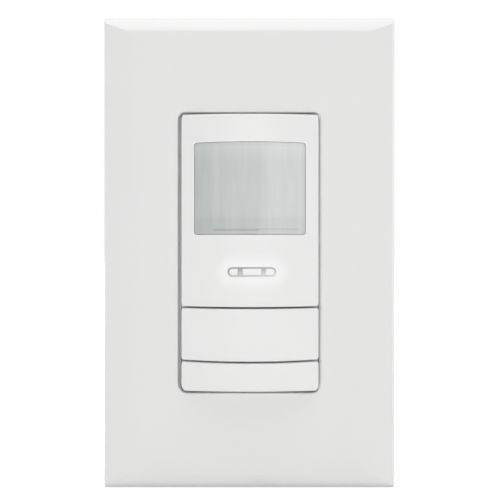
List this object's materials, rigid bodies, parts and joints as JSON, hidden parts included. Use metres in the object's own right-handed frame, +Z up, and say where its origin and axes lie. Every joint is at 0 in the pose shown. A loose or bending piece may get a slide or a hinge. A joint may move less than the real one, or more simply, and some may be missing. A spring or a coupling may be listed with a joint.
{
  "type": "motion sensor light switch",
  "caption": "Wall-box occupancy sensor switch with a curved lens, an indicator slot and sprung push buttons, in a clip-on screwless wall plate.",
  "frame": {"origin": "middle of the two box screws, in the plane of the wall, behind the centre of the wall plate", "axes": "+Y into the wall box, square to the wall; +Z up, along the wall plate's long side; +X to the right seen from the front"},
  "size_m": [0.0699, 0.0411, 0.1134],
  "materials": {
    "cover_plastic": "satin white thermoplastic with a fine even gloss",
    "device_plastic": "satin white thermoplastic, a shade lighter than the cover",
    "lens_plastic": "milky translucent polyethylene with moulded lens columns",
    "clear_plastic": "clear acrylic light pipe",
    "frame_plastic": "white structural plastic, matt",
    "housing_plastic": "black flame-retardant plastic, fine texture",
    "strap_steel": "zinc-plated steel sheet",
    "screw_steel": "zinc-plated steel",
    "white_screw": "white painted screw heads",
    "green_screw": "green passivated ground screw",
    "brass": "plain brass",
    "board": "green solder mask over glass fibre",
    "sensor_can": "nickel-plated can",
    "dark_filter": "dark infrared filter",
    "led_white": "white lamp body",
    "chip_black": "black moulded chip body",
    "relay_plastic": "blue relay case",
    "film_plastic": "yellow capacitor case",
    "can_sleeve": "dark shrink sleeve on an aluminium can",
    "varistor_coat": "blue dipped coating",
    "ferrite": "dark ferrite core with enamelled winding"
  },
  "bodies": {
    "device": {"plate_subframe": "frame_plastic", "subframe_screws": "white_screw", "mounting_strap": "strap_steel", "box_screws": "screw_steel", "ground_screw": "green_screw", "front_housing": "device_plastic", "fresnel_lens": "lens_plastic", "lens_retainer": "frame_plastic", "light_pipe": "clear_plastic", "control_board": "board", "tact_switch_bodies": "chip_black", "pyro_sensor": "sensor_can", "pyro_filter": "dark_filter", "indicator_leds": "led_white", "light_sensor": "chip_black", "microcontroller": "chip_black", "board_header": "chip_black", "power_board": "board", "relay": "relay_plastic", "film_capacitor": "film_plastic", "electrolytic_capacitors": "can_sleeve", "varistor": "varistor_coat", "fuse": "chip_black", "choke": "ferrite", "rectifier": "chip_black", "rear_housing": "housing_plastic", "housing_screws": "screw_steel", "terminal_plates": "brass", "terminal_clamps": "screw_steel", "terminal_screws": "brass"},
    "cover": {"wall_plate_cover": "cover_plastic"},
    "upper_button": {"upper_button": "device_plastic"},
    "lower_button": {"lower_button": "device_plastic"},
    "upper_plunger": {"upper_plunger": "chip_black"},
    "lower_plunger": {"lower_plunger": "chip_black"}
  },
  "joints": [
    {"name": "cover_pull", "type": "slide", "parent": "device", "child": "cover", "axis": [0, -1, 0], "range_m": [0, 0.012]},
    {"name": "upper_button_hinge", "type": "hinge", "parent": "device", "child": "upper_button", "pos_m": [0, -0.005, -0.01455], "axis": [1, 0, 0], "range_deg": [0, 2.05], "stiffness_Nm_per_rad": 0.1},
    {"name": "lower_button_hinge", "type": "hinge", "parent": "device", "child": "lower_button", "pos_m": [0, -0.005, -0.0272], "axis": [1, 0, 0], "range_deg": [0, 4], "stiffness_Nm_per_rad": 0.05},
    {"name": "upper_plunger_slide", "type": "slide", "parent": "device", "child": "upper_plunger", "axis": [0, 1, 0], "range_m": [0, 0.00025]},
    {"name": "lower_plunger_slide", "type": "slide", "parent": "device", "child": "lower_plunger", "axis": [0, 1, 0], "range_m": [0, 0.00025]}
  ],
  "couplings": [
    {"joint": "upper_plunger_slide", "follows": "upper_button_hinge", "m_per_rad": 0.0069522},
    {"joint": "lower_plunger_slide", "follows": "lower_button_hinge", "m_per_rad": 0.0035476}
  ]
}
